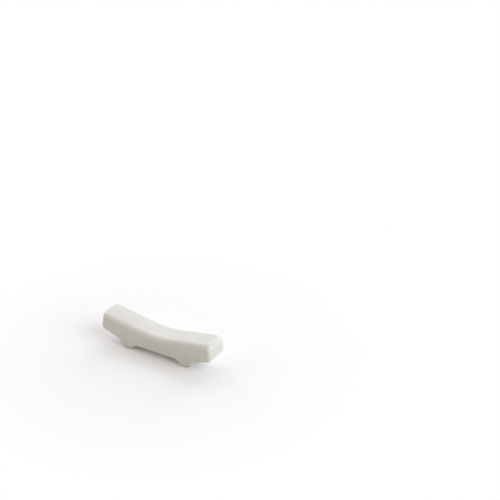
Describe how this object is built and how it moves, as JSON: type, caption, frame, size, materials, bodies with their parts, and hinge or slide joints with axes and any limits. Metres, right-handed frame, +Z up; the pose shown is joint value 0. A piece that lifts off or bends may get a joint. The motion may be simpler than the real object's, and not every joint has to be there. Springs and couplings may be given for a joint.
{
  "type": "chopstick rest",
  "caption": "Small glazed porcelain bar with raised wing tips and a shallow saddle that holds a pair of chopsticks off the table, on ground cross feet with an arch between them.",
  "frame": {"origin": "on the table, under the middle of the bar", "axes": "+X along the bar to its right tip, +Y from the front face to the back face, +Z up from the table"},
  "size_m": [0.0568, 0.0116, 0.014],
  "materials": {
    "bare_porcelain": "matte",
    "glaze": "satin"
  },
  "bodies": {
    "root": {"porcelain_body": "bare_porcelain", "glaze_coat": "glaze"}
  },
  "joints": []
}
